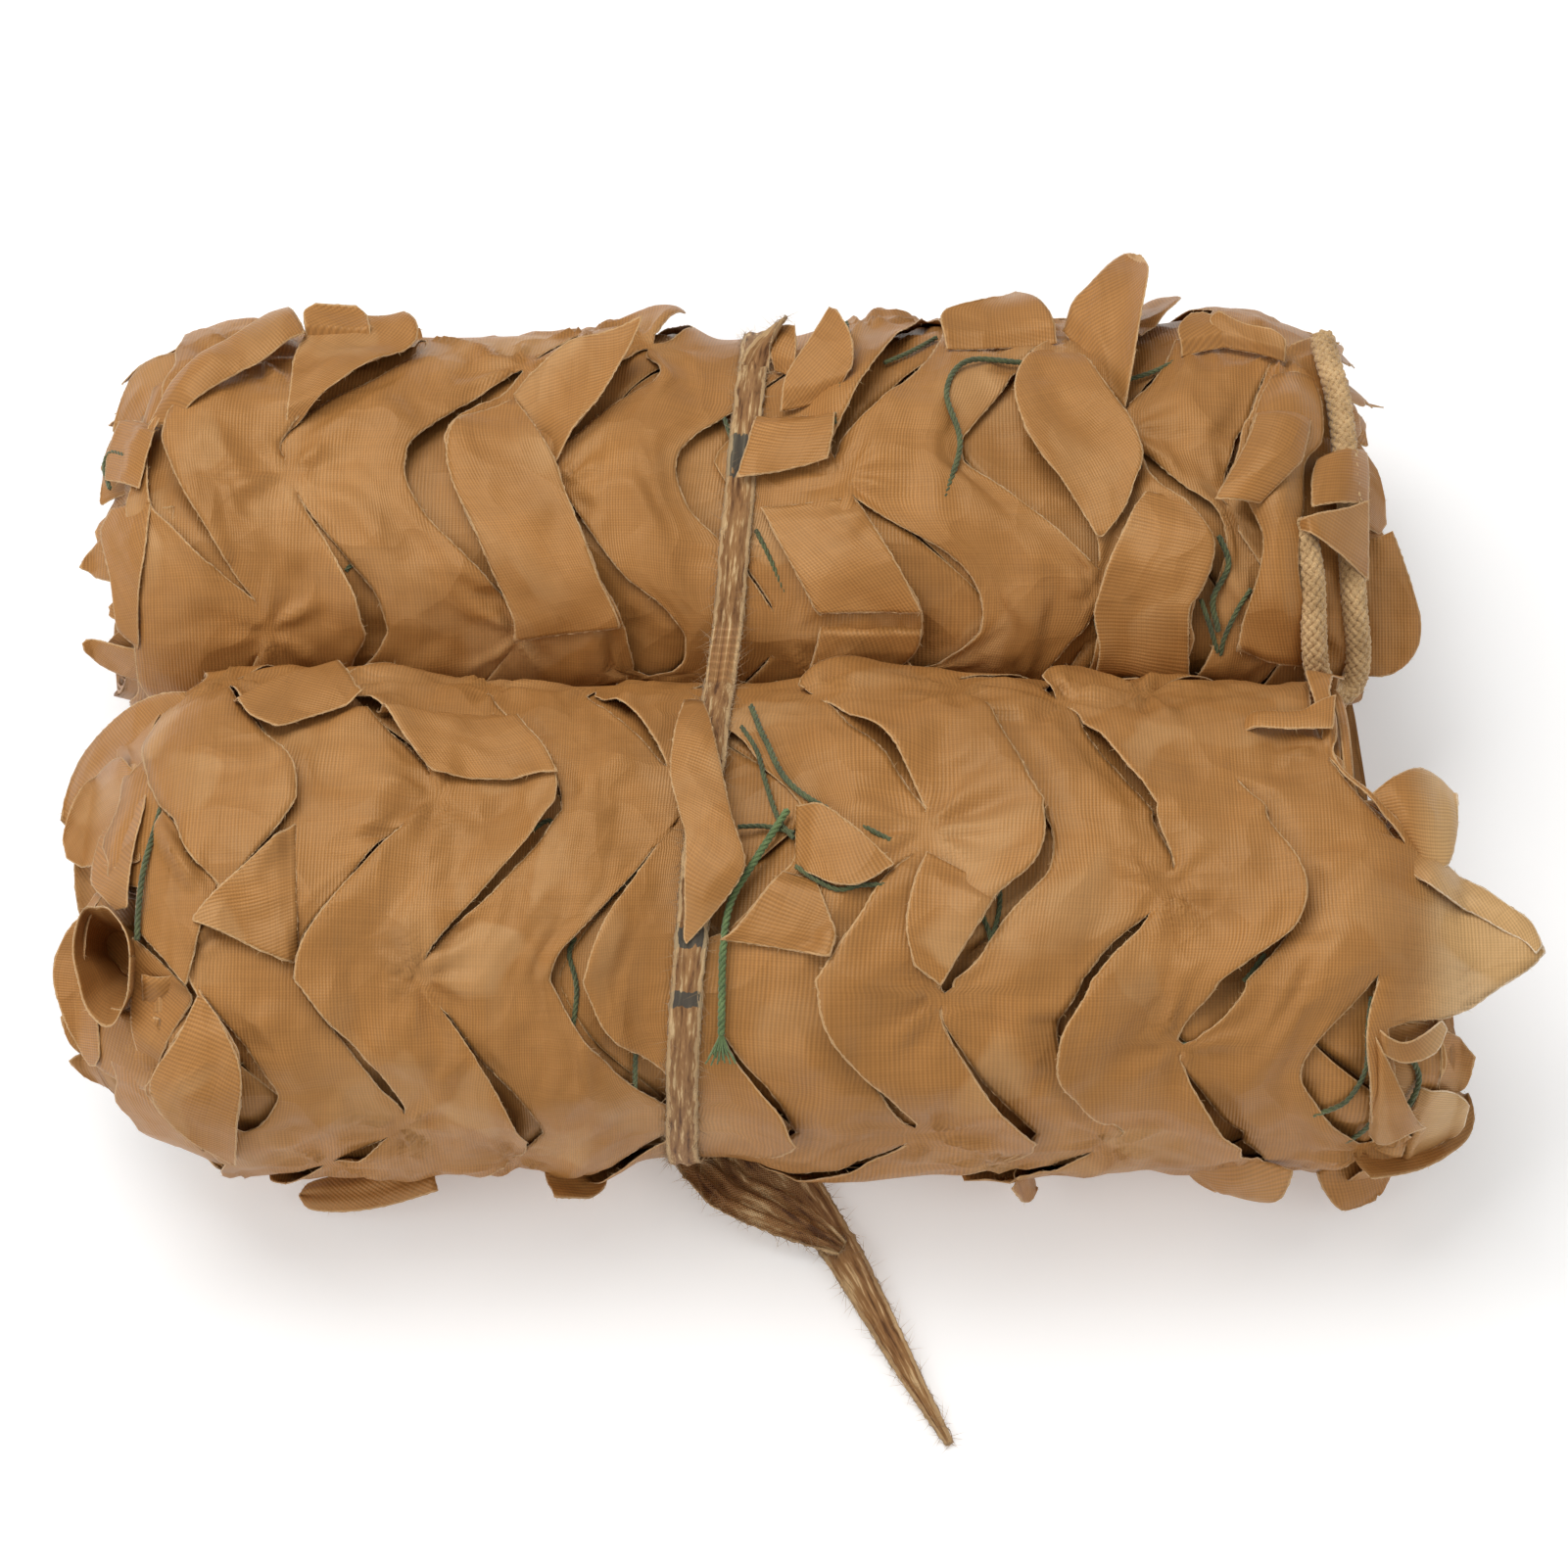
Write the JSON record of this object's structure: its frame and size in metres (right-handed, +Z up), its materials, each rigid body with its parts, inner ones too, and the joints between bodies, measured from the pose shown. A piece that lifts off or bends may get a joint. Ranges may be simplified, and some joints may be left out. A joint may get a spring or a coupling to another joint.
{
  "type": "folded camouflage net bundle",
  "caption": "Leaf-cut sand camouflage netting on a cord mesh, folded into a strip, rolled from both ends to the middle and tied round the waist with a torn cloth strip.",
  "frame": {"origin": "On the flat underside of the bundle, below the crease between the two rolls and at the middle of its length with the loose leaves.", "axes": "+X along the two rolls, +Y from the front roll to the back roll, +Z up."},
  "size_m": [0.4446, 0.3572, 0.1248],
  "materials": {
    "leaf_cloth": "satin plain-weave polyester with frayed cut edges",
    "tie_cloth": "matt torn cotton blend with soft desert blotches",
    "border_braid": "matt braided rope",
    "mesh_cord": "matt twisted cord"
  },
  "bodies": {
    "root": {"netting": "leaf_cloth", "tie_strip": "tie_cloth", "border_rope": "border_braid", "loose_cord_end": "mesh_cord", "mesh_cord_back_loop": "mesh_cord", "mesh_cord_back": "mesh_cord", "mesh_cord_middle": "mesh_cord", "mesh_cord_knot": "mesh_cord", "mesh_cord_left": "mesh_cord", "mesh_cord_right": "mesh_cord"}
  },
  "joints": []
}
